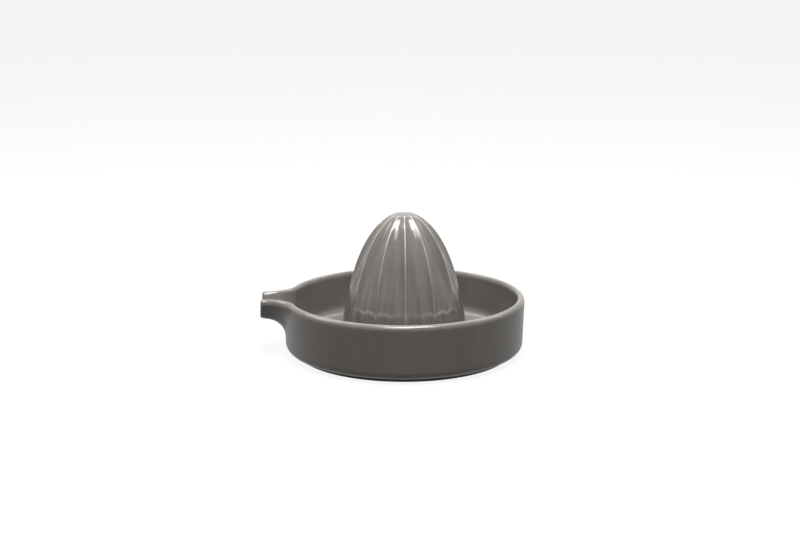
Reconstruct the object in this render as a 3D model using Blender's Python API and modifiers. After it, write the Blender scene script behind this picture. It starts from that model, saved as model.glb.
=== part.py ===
"""Ceramic citrus juicer: a shallow glazed dish with a ribbed reamer cone and a pouring spout.

Metres, +Z up. The bench is the plane z = 0, the spout points along -X, and the origin is the
middle of the object's footprint on the bench. The pieces are the lumps of clay that a potter
joins before firing: bowl, reamer cone, pouring spout and foot ring.
"""

import math

import bmesh
import bpy
from mathutils import Vector

# Gap between two clay pieces that meet
CLEARANCE = 0.0003

# Bowl
BOWL_RADIUS = 0.0725
BOWL_HEIGHT = 0.0350
WALL_THICKNESS = 0.0046
WALL_DRAFT = 0.036
LIP_OUTER_RADIUS = 0.0030
OUTER_CORNER_RADIUS = 0.0050
INNER_FILLET_RADIUS = 0.0070
FLOOR_THICKNESS = 0.0050
BOWL_STEPS = 72

# Foot ring
FOOT_RADIUS = 0.0646
FOOT_WIDTH = 0.0050
FOOT_HEIGHT = 0.0025
FOOT_EDGE_RADIUS = 0.0007

# Reamer cone, heights measured above the bowl's floor
CONE_RADIUS = 0.0361
CONE_APEX_HEIGHT = 0.0783
CROWN_DROP = 0.0010
BAND_BASE_RADIUS = 0.0395
BAND_SLOPE = 0.195
BAND_HEIGHT = 0.0242
BAND_FLARE_RADIUS = 0.0016
CONE_WALL = 0.0059
CONE_HOLLOW_TOP_WALL = 0.0055
HOLLOW_TAPER = 1.15
HOLLOW_ROWS = 10

# Ribs and flutes on the cone
RIB_COUNT = 12
STEPS_PER_RIB = 8
STEPS_DRAWN_TO_CREST = 0.078
FLUTE_DEPTH = 0.0024
FLUTE_FULL_RADIUS = 0.0220
CREST_WIDTH = 0.0004
HALF_RIB_HEIGHT = 0.0013
HALF_RIB_START = 0.0560
HALF_RIB_FULL = 0.0400
RIB_FOOT_DROP = 0.0028
HALF_RIB_FOOT_DROP = 0.0016
FOOT_BLEND = 0.0120
LEDGE_RISE = 0.0005
LEDGE_STEP = 0.0002
FLUTE_RUN_OUT = 0.0080
FLUTE_FADE_START = 0.0480
FLUTE_FADE_END = 0.0240

# Pouring spout
SPOUT_REACH = 0.0865
SPOUT_HALF_WIDTH = 0.0095
SPOUT_DEPTH = 0.0100
SPOUT_FALL = 0.0026
SPOUT_SIDE_LEAN = math.radians(27.0)
SPOUT_CORNER_RADIUS = 0.0070
CORNER_LINES = 3
SPOUT_TIP_SLANT = 0.0006
SPOUT_TIP_EDGE_RADIUS = 0.0012
SPOUT_TIP_STRAIGHT = 0.0012
SPOUT_SECTOR = math.radians(24.0)
FLARE_WIDTH_AT_LIP = 0.0120
FLARE_LENGTH_AT_LIP = 0.0130
FLARE_WIDTH_BELOW = 0.0084
FLARE_LENGTH_BELOW = 0.0080
FLARE_TENSION = 0.55
SEAM_MARGIN = 0.0006
SIDE_LINES = 4
KEEL_LINES = 4
PLATE_STEPS = 2
FLARE_STEPS = 6
TROUGH_STEPS = 1
LIP_STEPS = 6

# Heights and places that follow from the sizes above
FLOOR_TOP = FOOT_HEIGHT + FLOOR_THICKNESS
LIP_EDGE_HEIGHT = BOWL_HEIGHT - LIP_OUTER_RADIUS
BOWL_AXIS_X = (SPOUT_REACH - BOWL_RADIUS) / 2
CONE_SEAT = FLOOR_TOP + CLEARANCE
CONE_TOP = FLOOR_TOP + CONE_APEX_HEIGHT - CROWN_DROP
HOLLOW_RADIUS = BAND_BASE_RADIUS - CONE_WALL
BAND_TOP = FLOOR_TOP + BAND_HEIGHT
SEAM_HEIGHT = LIP_EDGE_HEIGHT - SPOUT_DEPTH - SPOUT_FALL - FLARE_WIDTH_BELOW - SEAM_MARGIN


def clear_scene():
    """Remove whatever the scene holds, so that the script gives the same result each run."""
    for old in list(bpy.data.objects):
        bpy.data.objects.remove(old, do_unlink=True)


def make_collection(name):
    """A collection linked to the scene."""
    collection = bpy.data.collections.new(name)
    bpy.context.scene.collection.children.link(collection)
    return collection


def make_material(name, colour, roughness, coat):
    """A Principled material with one colour, its roughness and the weight of its glassy coat."""
    material = bpy.data.materials.new(name)
    material.use_nodes = True
    shader = material.node_tree.nodes["Principled BSDF"]
    shader.inputs["Base Color"].default_value = (*colour, 1.0)
    shader.inputs["Roughness"].default_value = roughness
    shader.inputs["Metallic"].default_value = 0.0
    shader.inputs["Coat Weight"].default_value = coat
    material.diffuse_color = (*colour, 1.0)
    return material


def add_piece(name, mesh, collection, parent, material):
    """Link a mesh as one named piece, carried by the empty on the bowl's axis."""
    piece = bpy.data.objects.new(name, mesh)
    collection.objects.link(piece)
    piece.parent = parent
    if material:
        mesh.materials.append(material)
    return piece


def arc(centre_r, centre_z, radius, start, end, count):
    """Points (r, z) of an arc from start to end, in degrees, both ends included."""
    points = []
    for i in range(count + 1):
        angle = math.radians(start + (end - start) * i / count)
        points.append((centre_r + radius * math.cos(angle), centre_z + radius * math.sin(angle)))
    return points


def lip_arch(outer, inner, up, steps):
    """Points of the lip from its outer edge over to its inner edge, both ends included.

    up is the wall's own direction. The outer part is a quarter circle of LIP_OUTER_RADIUS, and
    the inner part a quarter ellipse over what is left of the wall's thickness.
    """
    across = (outer - inner).normalized()
    inner_run = (outer - inner).length - LIP_OUTER_RADIUS
    crest_foot = inner + across * inner_run
    points = []
    for i in range(steps + 1):
        angle = math.pi * i / steps
        run = LIP_OUTER_RADIUS if angle < math.pi / 2 else inner_run
        side = across * run * math.cos(angle)
        points.append(crest_foot + side + up * LIP_OUTER_RADIUS * math.sin(angle))
    return points


def turned_mesh(name, profile):
    """A closed (r, z) profile as a mesh of edges in the XZ plane, for a Screw modifier."""
    mesh = bpy.data.meshes.new(name)
    vertices = [(r, 0.0, z) for r, z in profile]
    edges = [(i, (i + 1) % len(profile)) for i in range(len(profile))]
    mesh.from_pydata(vertices, edges, [])
    return mesh


def add_screw(piece, steps):
    """Turn the piece's profile once round the Z axis."""
    screw = piece.modifiers.new("turned", "SCREW")
    screw.axis = "Z"
    screw.angle = math.tau
    screw.steps = steps
    screw.render_steps = steps
    screw.use_merge_vertices = True
    screw.merge_threshold = 0.00002
    screw.use_smooth_shade = True
    return screw


def outer_wall_radius(z):
    """Outside radius of the bowl's wall at height z: the wall leans in towards its base."""
    return BOWL_RADIUS - WALL_DRAFT * (LIP_EDGE_HEIGHT - z)


def inner_wall_radius(z):
    """Inside radius at height z, with the fillet that runs into the floor."""
    fillet_top = FLOOR_TOP + INNER_FILLET_RADIUS
    if z >= fillet_top:
        return outer_wall_radius(z) - WALL_THICKNESS
    centre = outer_wall_radius(fillet_top) - WALL_THICKNESS - INNER_FILLET_RADIUS
    below = min(fillet_top - z, INNER_FILLET_RADIUS)
    return centre + math.sqrt(INNER_FILLET_RADIUS**2 - below**2)


def bowl_profile():
    """Lip, outer wall, corner, underside, floor opening, floor, fillet and inner wall."""
    outer_edge = Vector((outer_wall_radius(LIP_EDGE_HEIGHT), LIP_EDGE_HEIGHT))
    inner_edge = Vector((inner_wall_radius(LIP_EDGE_HEIGHT), LIP_EDGE_HEIGHT))
    lip = lip_arch(outer_edge, inner_edge, Vector((0.0, 1.0)), 8)
    lip = [(point.x, point.y) for point in reversed(lip)]
    corner_z = FOOT_HEIGHT + OUTER_CORNER_RADIUS
    corner_r = outer_wall_radius(corner_z) - OUTER_CORNER_RADIUS
    wall_mid_z = (LIP_EDGE_HEIGHT + corner_z) / 2
    wall = [(outer_wall_radius(wall_mid_z), wall_mid_z)]
    corner = arc(corner_r, corner_z, OUTER_CORNER_RADIUS, 0.0, -90.0, 5)
    underside = [(HOLLOW_RADIUS, FOOT_HEIGHT), (HOLLOW_RADIUS, FLOOR_TOP)]
    fillet_top = FLOOR_TOP + INNER_FILLET_RADIUS
    fillet_r = inner_wall_radius(fillet_top) - INNER_FILLET_RADIUS
    fillet = arc(fillet_r, fillet_top, INNER_FILLET_RADIUS, -90.0, 0.0, 6)
    inner_mid = (inner_wall_radius(wall_mid_z), wall_mid_z)
    return lip + wall + corner + underside + fillet + [inner_mid]


def notch_mesh():
    """A wedge over the spout's sector, larger than the spout's piece of wall by the clearance."""
    half = SPOUT_SECTOR
    back = CLEARANCE / math.sin(half)
    near = BOWL_RADIUS - 4 * WALL_THICKNESS
    far = BOWL_RADIUS + 2 * WALL_THICKNESS
    bm = bmesh.new()
    corners = []
    for radius, side in ((near, -1), (far, -1), (far, 1), (near, 1)):
        x = back - radius * math.cos(half)
        corners.append(bm.verts.new((x, side * radius * math.sin(half), SEAM_HEIGHT - CLEARANCE)))
    base = bm.faces.new(corners)
    grown = bmesh.ops.extrude_face_region(bm, geom=[base])
    top = [v for v in grown["geom"] if isinstance(v, bmesh.types.BMVert)]
    bmesh.ops.translate(bm, verts=top, vec=(0.0, 0.0, BOWL_HEIGHT))
    bmesh.ops.recalc_face_normals(bm, faces=bm.faces)
    mesh = bpy.data.meshes.new("spout_notch")
    bm.to_mesh(mesh)
    bm.free()
    return mesh


def make_bowl(collection, cutters, axis, glaze):
    """The dish: floor, wall and lip turned in one, then cut open where the spout joins."""
    bowl = add_piece("bowl", turned_mesh("bowl", bowl_profile()), collection, axis, glaze)
    add_screw(bowl, BOWL_STEPS)
    notch = add_piece("spout_notch", notch_mesh(), cutters, axis, None)
    notch.hide_render = True
    notch.display_type = "WIRE"
    cut = bowl.modifiers.new("spout_notch", "BOOLEAN")
    cut.operation = "DIFFERENCE"
    cut.solver = "EXACT"
    cut.object = notch
    return bowl


def make_foot_ring(collection, axis, clay):
    """The bare clay ring that the juicer stands on, under the bowl."""
    edge = FOOT_EDGE_RADIUS
    inner = FOOT_RADIUS - FOOT_WIDTH
    top = FOOT_HEIGHT - CLEARANCE
    outside = arc(FOOT_RADIUS - edge, edge, edge, 0.0, -90.0, 2)
    inside = arc(inner + edge, edge, edge, -90.0, -180.0, 2)
    profile = [(inner, top), (FOOT_RADIUS, top)] + outside + inside
    ring = add_piece("foot_ring", turned_mesh("foot_ring", profile), collection, axis, clay)
    add_screw(ring, BOWL_STEPS)
    return ring


def crest_radius(z):
    """Radius of the rib crests at height z: half an ellipse that stands on the floor."""
    share = min((z - FLOOR_TOP) / CONE_APEX_HEIGHT, 1.0)
    return CONE_RADIUS * math.sqrt(1.0 - share**2)


def band_radius(z):
    """Radius of the plain band under the ribs at height z."""
    return BAND_BASE_RADIUS - BAND_SLOPE * (z - FLOOR_TOP)


def rib_phase(angle):
    """How far an angle lies across one rib's pitch: 0 and 1 on a crest, 0.5 halfway."""
    return (angle * RIB_COUNT / math.tau) % 1.0


def drawn_to_crest(angle):
    """The angle that a step of the spin moves to, so that more steps lie beside each crest."""
    turn = angle * RIB_COUNT
    return angle - STEPS_DRAWN_TO_CREST * math.sin(turn) * math.tau / RIB_COUNT


def flute_depth(angle, z):
    """How far the surface lies inside the crest ellipse, at an angle and a height."""
    radius = crest_radius(z)
    crown = crest_radius(CONE_TOP)
    growth = min(max((radius - crown) / (FLUTE_FULL_RADIUS - crown), 0.0), 1.0) ** 0.8
    phase = rib_phase(angle)
    pitch = radius * math.tau / RIB_COUNT
    softness = min(CREST_WIDTH / pitch, 0.1)
    from_crest = math.hypot(min(phase, 1.0 - phase), softness) - softness
    depth = FLUTE_DEPTH * growth * 4.0 * from_crest * (1.0 - from_crest)
    height = z - FLOOR_TOP
    half = (HALF_RIB_START - height) / (HALF_RIB_START - HALF_RIB_FULL)
    half = min(max(half, 0.0), 1.0)
    ridge = HALF_RIB_HEIGHT * half * max(1.0 - abs(phase - 0.5) / 0.20, 0.0) ** 1.3
    low = (FLUTE_FADE_START - height) / (FLUTE_FADE_START - FLUTE_FADE_END)
    low = min(max(low, 0.0), 1.0)
    low = low * low * (3.0 - 2.0 * low)
    return depth * (1.0 - 0.70 * low) - ridge * (1.0 - 0.45 * low)


def foot_drop(angle):
    """How far the band's scalloped top edge dips at an angle: most under a rib, less under
    the small rib halfway, and nothing in the middle of a flute."""
    across = rib_phase(angle) * 2.0
    if across > 1.0:
        across = 2.0 - across
    drop = RIB_FOOT_DROP if across < 0.5 else HALF_RIB_FOOT_DROP
    return drop * abs(2.0 * across - 1.0) ** 3.0


def cone_profile():
    """Outer rows of the cone from the crown down to the seat, before the flutes are pressed in."""
    crown = crest_radius(CONE_TOP)
    rows = [(0.0, CONE_TOP), (crown - 0.0008, CONE_TOP)]
    ledge_top = BAND_TOP + LEDGE_RISE
    flute_rows = 15
    for i in range(flute_rows + 1):
        angle = (math.pi / 2) * i / flute_rows
        share = math.sin(angle) * 0.35 + (i / flute_rows) * 0.65
        z = CONE_TOP - 0.0004 - (CONE_TOP - 0.0004 - ledge_top) * share**1.25
        rows.append((crest_radius(z), z))
    flare_top = CONE_SEAT + BAND_FLARE_RADIUS + 0.0006
    band_rows = 3
    for i in range(band_rows + 1):
        z = BAND_TOP + (flare_top - BAND_TOP) * i / band_rows
        rows.append((band_radius(z), z))
    reach = band_radius(CONE_SEAT) + BAND_FLARE_RADIUS
    rows.append((band_radius(flare_top) + BAND_FLARE_RADIUS * 0.35, flare_top - 0.0010))
    rows.append((reach, CONE_SEAT + 0.0006))
    rows.append((reach, CONE_SEAT))
    return rows


def hollow_profile():
    """Rows of the hollow under the cone, from the seat up to its top on the axis."""
    hollow_height = CONE_TOP - CONE_HOLLOW_TOP_WALL - CONE_SEAT
    rows = []
    for i in range(HOLLOW_ROWS):
        share = math.sin(math.pi / 2 * i / (HOLLOW_ROWS - 1))
        radius = HOLLOW_RADIUS * math.sqrt(1.0 - share**HOLLOW_TAPER)
        rows.append((radius, CONE_SEAT + hollow_height * share))
    return rows


def spin_rows(bm, rows, steps):
    """Spin a profile whose first row lies on the axis, and weld the pole."""
    vertices = [bm.verts.new((r, 0.0, z)) for r, z in rows]
    edges = [bm.edges.new(pair) for pair in zip(vertices, vertices[1:])]
    bmesh.ops.spin(
        bm,
        geom=vertices + edges,
        cent=(0.0, 0.0, 0.0),
        axis=(0.0, 0.0, 1.0),
        angle=math.tau,
        steps=steps,
        use_merge=True,
        use_duplicate=False,
    )
    bmesh.ops.remove_doubles(bm, verts=bm.verts, dist=1e-6)


def pull_hollow(bm, rows):
    """Pull the open rim inward and up, row by row, and weld it shut on the axis."""
    rim = [e for e in bm.edges if e.is_boundary]
    for radius, z in rows:
        grown = bmesh.ops.extrude_edge_only(bm, edges=rim)
        rim = [e for e in grown["geom"] if isinstance(e, bmesh.types.BMEdge)]
        ring = [v for v in grown["geom"] if isinstance(v, bmesh.types.BMVert)]
        for vertex in ring:
            x, y = vertex.co.xy.normalized()
            vertex.co = (x * radius, y * radius, z)
    bmesh.ops.remove_doubles(bm, verts=ring, dist=1e-6)


def press_flutes(bm):
    """Move each vertex above the band inward by its flute's depth, and scallop the band's edge.

    Angles are measured from -X, where the spout and one of the ribs lie.
    """
    ledge_top = BAND_TOP + LEDGE_RISE
    blend_end = ledge_top + FOOT_BLEND
    flare_top = CONE_SEAT + BAND_FLARE_RADIUS + 0.0006
    for vertex in bm.verts:
        x, y, z = vertex.co
        radius = math.hypot(x, y)
        if radius < 1e-6 or z < flare_top - 1e-6:
            continue
        angle = drawn_to_crest(math.atan2(y, -x))
        above_ledge = z > BAND_TOP + LEDGE_RISE / 2
        if above_ledge:
            weight = min(max((blend_end - z) / (blend_end - ledge_top), 0.0), 1.0)
        else:
            weight = max((z - flare_top) / (BAND_TOP - flare_top), 0.0)
        new_z = z - foot_drop(angle) * weight**1.5
        if z > CONE_TOP - 1e-6:
            new_radius = radius
        elif above_ledge:
            new_radius = crest_radius(new_z) - flute_depth(angle, new_z)
            above = new_z - (ledge_top - foot_drop(angle))
            run_out = min(max(1.0 - above / FLUTE_RUN_OUT, 0.0), 1.0) ** 2
            new_radius += (band_radius(new_z) - LEDGE_STEP - new_radius) * run_out
        else:
            new_radius = band_radius(new_z)
        vertex.co = (-new_radius * math.cos(angle), new_radius * math.sin(angle), new_z)


def make_cone(collection, axis, glaze):
    """The hollow ribbed cone, open underneath, that stands on the bowl's floor."""
    bm = bmesh.new()
    spin_rows(bm, cone_profile(), RIB_COUNT * STEPS_PER_RIB)
    press_flutes(bm)
    pull_hollow(bm, hollow_profile())
    bmesh.ops.recalc_face_normals(bm, faces=bm.faces)
    mesh = bpy.data.meshes.new("reamer_cone")
    bm.to_mesh(mesh)
    bm.free()
    mesh.shade_smooth()
    mesh.set_sharp_from_angle(angle=math.radians(50.0))
    return add_piece("reamer_cone", mesh, collection, axis, glaze)


def trough_section(depth, inset):
    """Half of the trough's section from lip to keel, as (distance from its middle, depth).

    Depths are measured below the lip's edge. The side leans in by SPOUT_SIDE_LEAN and turns
    through a round corner into a flat keel. inset is 0 on the outside and the wall's thickness
    on the inside.
    """
    lean = SPOUT_SIDE_LEAN
    square = Vector((math.cos(lean), math.sin(lean)))
    edge = Vector((SPOUT_HALF_WIDTH, 0.0)) + square * WALL_THICKNESS / 2
    centre_depth = depth - SPOUT_CORNER_RADIUS
    centre_x = (edge.dot(square) - SPOUT_CORNER_RADIUS - centre_depth * square.y) / square.x
    radius = SPOUT_CORNER_RADIUS - inset
    start = edge - square * inset
    tangent = Vector((centre_x, centre_depth)) + square * radius
    points = [start.lerp(tangent, i / SIDE_LINES) for i in range(SIDE_LINES + 1)]
    for i in range(1, KEEL_LINES + 1):
        angle = lean + (math.pi / 2 - lean) * min(i / CORNER_LINES, 1.0)
        left = 1.0 - max(i - CORNER_LINES, 0) / (KEEL_LINES - CORNER_LINES)
        x = (centre_x + radius * math.cos(angle)) * left
        points.append(Vector((x, centre_depth + radius * math.sin(angle))))
    return points


def sector_edge():
    """Half of the spout piece's edge on the wall, as (angle, depth below the lip's edge)."""
    bottom = LIP_EDGE_HEIGHT - SEAM_HEIGHT
    points = [(SPOUT_SECTOR, bottom * i / SIDE_LINES) for i in range(SIDE_LINES + 1)]
    for i in range(1, KEEL_LINES + 1):
        points.append((SPOUT_SECTOR * (1.0 - i / KEEL_LINES), bottom))
    return points


def on_wall(wall_radius, point, out):
    """A point of the spout's pattern, laid round the wall and lifted out from it along -X.

    The pattern is the wall unrolled: (distance round it at the lip, depth below the lip's edge).
    """
    turn = point.x / wall_radius(LIP_EDGE_HEIGHT)
    z = LIP_EDGE_HEIGHT - point.y
    radius = wall_radius(z)
    return Vector((-radius * math.cos(turn) - out, radius * math.sin(turn), z))


def flare(share):
    """One quarter turn of the flare, as the shares of its width left and of its length gained."""
    slack = 1.0 - FLARE_TENSION
    rest = 1.0 - share
    width_left = rest**3 + 3.0 * rest**2 * share * slack
    length_gained = share**3 + 3.0 * share**2 * rest * slack
    return width_left, length_gained


def sheet_lines(wall_radius, inset):
    """Lines of one side of the spout, each from the wall's sector edge out to the tip.

    Every line runs along the wall, turns through the flare and follows the trough. inset is 0
    on the outside and the wall's thickness on the inside.
    """
    root = trough_section(SPOUT_DEPTH if inset else SPOUT_DEPTH + SPOUT_FALL, inset)
    tip = trough_section(SPOUT_DEPTH, inset)
    lines = []
    for i, (angle, edge_depth) in enumerate(sector_edge()):
        below = i / (SIDE_LINES + KEEL_LINES)
        width = FLARE_WIDTH_AT_LIP + (FLARE_WIDTH_BELOW - FLARE_WIDTH_AT_LIP) * below + inset
        length = FLARE_LENGTH_AT_LIP + (FLARE_LENGTH_BELOW - FLARE_LENGTH_AT_LIP) * below + inset
        start = Vector((angle * wall_radius(LIP_EDGE_HEIGHT), edge_depth))
        outward = (start - root[i]).normalized()
        slant = SPOUT_TIP_SLANT * (1.0 - tip[i].y / SPOUT_DEPTH)
        tip_x = -SPOUT_REACH + slant + SPOUT_TIP_EDGE_RADIUS
        full_out = on_wall(wall_radius, tip[i], 0.0).x - tip_x
        length = min(length, full_out - SPOUT_TIP_STRAIGHT)
        line = []
        for k in range(PLATE_STEPS):
            point = start.lerp(root[i] + outward * width, k / PLATE_STEPS)
            line.append(on_wall(wall_radius, point, 0.0))
        for k in range(FLARE_STEPS + 1):
            width_left, length_gained = flare(k / FLARE_STEPS)
            out = length * length_gained
            section = root[i].lerp(tip[i], out / full_out)
            line.append(on_wall(wall_radius, section + outward * width * width_left, out))
        flare_end = line[-1]
        tip_point = on_wall(wall_radius, tip[i], full_out)
        for k in range(1, TROUGH_STEPS + 1):
            line.append(flare_end.lerp(tip_point, k / TROUGH_STEPS))
        lines.append(line)
    return lines


def mirrored(point):
    """The same point on the spout's other side."""
    return Vector((point.x, -point.y, point.z))


def spout_loops():
    """Closed horseshoe loops of the spout, from its edge on the wall out to its tip."""
    outer = sheet_lines(outer_wall_radius, 0.0)
    inner = sheet_lines(inner_wall_radius, WALL_THICKNESS)
    loops = []
    for k in range(len(outer[0])):
        near_outer = [line[k] for line in outer]
        near_inner = [line[k] for line in inner]
        across = near_outer[0] - near_inner[0]
        down = near_outer[1] - near_outer[0]
        up = across.cross(down.cross(across)).normalized()
        if up.z < 0.0:
            up = -up
        lip = lip_arch(near_outer[0], near_inner[0], up, LIP_STEPS)[1:-1]
        loop = near_outer + [mirrored(p) for p in reversed(near_outer[:-1])]
        loop += [mirrored(p) for p in lip]
        loop += [mirrored(p) for p in near_inner] + near_inner[-2::-1]
        loop += list(reversed(lip))
        loops.append(loop)
    loops += tip_loops(loops[-1])
    return loops


def tip_loops(last):
    """Loops that round the tip's edges, each drawn in towards the middle of the wall."""
    half = SIDE_LINES + KEEL_LINES
    across = 2 * half + 1
    middle = []
    for i in range(across):
        middle.append((last[i] + last[2 * across + LIP_STEPS - 2 - i]) / 2)
    centres = middle + [middle[-1]] * (LIP_STEPS - 1)
    centres += list(reversed(middle)) + [middle[0]] * (LIP_STEPS - 1)
    loops = []
    steps = 2
    for k in range(1, steps + 1):
        turn = math.pi / 2 * k / steps
        draw = 1.0 - 2.0 * SPOUT_TIP_EDGE_RADIUS / WALL_THICKNESS * (1.0 - math.cos(turn))
        shift = SPOUT_TIP_EDGE_RADIUS * math.sin(turn)
        loop = []
        for centre, point in zip(centres, last):
            drawn = centre + (point - centre) * draw
            loop.append(Vector((point.x - shift, drawn.y, drawn.z)))
        loops.append(loop)
    return loops


def close_end(bm, ring, flip):
    """Close one end of the horseshoe: quads between its outer and inner lines, and two lips."""
    across = 2 * (SIDE_LINES + KEEL_LINES) + 1
    outer = ring[:across]
    first_lip = ring[across : across + LIP_STEPS - 1]
    inner = ring[across + LIP_STEPS - 1 : 2 * across + LIP_STEPS - 1]
    last_lip = ring[2 * across + LIP_STEPS - 1 :]
    inner = inner[::-1]
    faces = [
        [outer[i], outer[i + 1], inner[i + 1], inner[i]]
        for i in range(across - 1)
    ]
    faces.append([outer[-1]] + first_lip + [inner[-1]])
    faces.append([inner[0]] + last_lip + [outer[0]])
    for corners in faces:
        bm.faces.new(corners[::-1] if flip else corners)


def make_spout(collection, axis, glaze):
    """The open trough with the piece of wall that it grows from."""
    bm = bmesh.new()
    rings = [[bm.verts.new(p) for p in loop] for loop in spout_loops()]
    for ring, following in zip(rings, rings[1:]):
        for i in range(len(ring)):
            j = (i + 1) % len(ring)
            bm.faces.new((ring[i], ring[j], following[j], following[i]))
    close_end(bm, rings[0], True)
    close_end(bm, rings[-1], False)
    bmesh.ops.recalc_face_normals(bm, faces=bm.faces)
    mesh = bpy.data.meshes.new("pouring_spout")
    bm.to_mesh(mesh)
    bm.free()
    mesh.shade_smooth()
    mesh.set_sharp_from_angle(angle=math.radians(50.0))
    return add_piece("pouring_spout", mesh, collection, axis, glaze)


def main():
    """Build the four clay pieces."""
    clear_scene()
    pieces = make_collection("citrus_juicer")
    cutters = make_collection("citrus_juicer_cutters")
    axis = bpy.data.objects.new("bowl_axis", None)
    axis.location = (BOWL_AXIS_X, 0.0, 0.0)
    pieces.objects.link(axis)
    glaze = make_material("warm_grey_glaze", (0.139, 0.126, 0.113), 0.18, 0.1)
    clay = make_material("bare_stoneware", (0.38, 0.33, 0.27), 0.85, 0.0)
    make_bowl(pieces, cutters, axis, glaze)
    make_foot_ring(pieces, axis, clay)
    make_cone(pieces, axis, glaze)
    make_spout(pieces, axis, glaze)
    bpy.context.view_layer.update()


main()
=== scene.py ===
# %% [markdown]
# # A ceramic citrus juicer
#
# A hand juicer of glazed stoneware. It is one lump of fired clay: a shallow dish with a rounded
# lip, a ribbed cone in its middle for half an orange, and a short trough to pour from. Round ware
# like this is turned, so most of it starts here as a profile that is spun round an axis. What a
# wheel can't make, the ribs and the trough, is then pressed and pulled out of the turned shapes.

import math

import bmesh
import bpy
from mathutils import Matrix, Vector


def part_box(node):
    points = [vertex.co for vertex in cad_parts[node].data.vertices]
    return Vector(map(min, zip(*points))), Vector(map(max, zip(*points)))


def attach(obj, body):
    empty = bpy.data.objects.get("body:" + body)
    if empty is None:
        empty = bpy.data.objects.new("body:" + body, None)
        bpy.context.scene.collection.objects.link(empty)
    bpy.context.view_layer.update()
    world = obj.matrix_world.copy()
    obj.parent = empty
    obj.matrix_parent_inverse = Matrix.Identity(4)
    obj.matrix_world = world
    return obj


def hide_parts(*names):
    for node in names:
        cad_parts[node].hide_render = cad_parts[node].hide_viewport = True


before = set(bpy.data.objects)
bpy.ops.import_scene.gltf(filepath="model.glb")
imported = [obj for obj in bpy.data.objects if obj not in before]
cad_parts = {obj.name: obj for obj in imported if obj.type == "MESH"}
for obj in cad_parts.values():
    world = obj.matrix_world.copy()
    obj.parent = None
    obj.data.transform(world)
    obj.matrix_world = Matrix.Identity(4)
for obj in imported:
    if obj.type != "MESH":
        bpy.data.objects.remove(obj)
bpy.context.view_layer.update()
print("nodes:", sorted(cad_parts))

# %% [markdown]
# ## The main sizes
#
# The frame already holds the outer sizes, so these are read from it. The foot ring is round and
# stands under the dish, so its box gives the axis of the whole juicer. The rest are the potter's
# own choices: how thick wall and floor are, how high the lip's roll starts, and how far the wall
# leans in towards its base (DRAFT, as a slope).

# %% Sizes from the frame
ring_low, ring_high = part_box("foot_ring")
bowl_low, bowl_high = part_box("bowl")
cone_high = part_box("reamer_cone")[1]
spout_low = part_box("pouring_spout")[0]

AXIS_X = (ring_low[0] + ring_high[0]) / 2
BOWL_RADIUS = (bowl_high[1] - bowl_low[1]) / 2
BOWL_HEIGHT = bowl_high[2]
FOOT_RADIUS = (ring_high[1] - ring_low[1]) / 2
DISH_BASE = bowl_low[2]
CONE_TOP = cone_high[2]
SPOUT_REACH = AXIS_X - spout_low[0]

WALL = 0.0046
FLOOR = 0.0050
FLOOR_TOP = DISH_BASE + FLOOR
LIP_ROLL = 0.0030
LIP_EDGE = BOWL_HEIGHT - LIP_ROLL
DRAFT = 0.036
print("axis at x =", round(AXIS_X * 1000, 2), "mm; dish radius", round(BOWL_RADIUS * 1000, 2))

# %% [markdown]
# ## Helpers
#
# Four helpers serve every piece. One returns the points of an arc, because each corner of the
# ware is a smooth curve. One draws a profile in the XZ plane as a chain of edges, and one spins
# it round the axis. The last turns a finished bmesh into an object, moves it to the juicer's axis
# and shades it smooth.

# %% Arc, chain, spin and finished piece
MERGE = 1e-6
SAME_PLACE = 1e-5


def arc(centre, radius, start, end, steps):
    """Points (r, z) on an arc about a centre, from one angle in degrees to another."""
    points = []
    for i in range(steps + 1):
        angle = math.radians(start + (end - start) * i / steps)
        points.append((centre[0] + radius * math.cos(angle), centre[1] + radius * math.sin(angle)))
    return points


def chain(bm, points, closed):
    """Draw points (r, z) as a chain of edges in the XZ plane and return its geometry."""
    vertices = [bm.verts.new((r, 0.0, z)) for r, z in points]
    pairs = list(zip(vertices, vertices[1:]))
    if closed:
        pairs.append((vertices[-1], vertices[0]))
    return vertices + [bm.edges.new(pair) for pair in pairs]


def spin(bm, geometry, steps):
    """Spin a chain once round the Z axis, and merge what meets at the seam and on the axis."""
    bmesh.ops.spin(
        bm, geom=geometry, cent=(0, 0, 0), axis=(0, 0, 1), angle=math.tau,
        steps=steps, use_merge=True, use_duplicate=False,
    )
    bmesh.ops.remove_doubles(bm, verts=bm.verts, dist=MERGE)


def finish_piece(bm, name, material):
    """Move a mesh to the juicer's axis and return it as a smooth object that faces outwards."""
    bmesh.ops.translate(bm, verts=bm.verts, vec=(AXIS_X, 0.0, 0.0))
    bmesh.ops.recalc_face_normals(bm, faces=bm.faces)
    mesh = bpy.data.meshes.new(name)
    bm.to_mesh(mesh)
    bm.free()
    mesh.shade_smooth()
    mesh.materials.append(material)
    piece = bpy.data.objects.new(name, mesh)
    bpy.context.scene.collection.objects.link(piece)
    print(name, "has", len(mesh.polygons), "faces")
    return piece


# %% [markdown]
# ## Material helpers
#
# A node material is a small network, and the same few parts come back in each of them: a noise, a
# change of range, a pair of tones, a bump. Each part has a helper that adds its nodes to the
# material's tree and returns the socket to read. Patterns are read at Object coordinates, which
# are metres here, so a noise of scale 45 makes clouds of about two centimetres.

# %% Noise, range, tones and bump
def noise(tree, where, scale, detail):
    """A noise pattern, read at a place."""
    texture = tree.nodes.new("ShaderNodeTexNoise")
    texture.inputs["Scale"].default_value = scale
    texture.inputs["Detail"].default_value = detail
    tree.links.new(where, texture.inputs["Vector"])
    return texture.outputs["Fac"]


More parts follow.
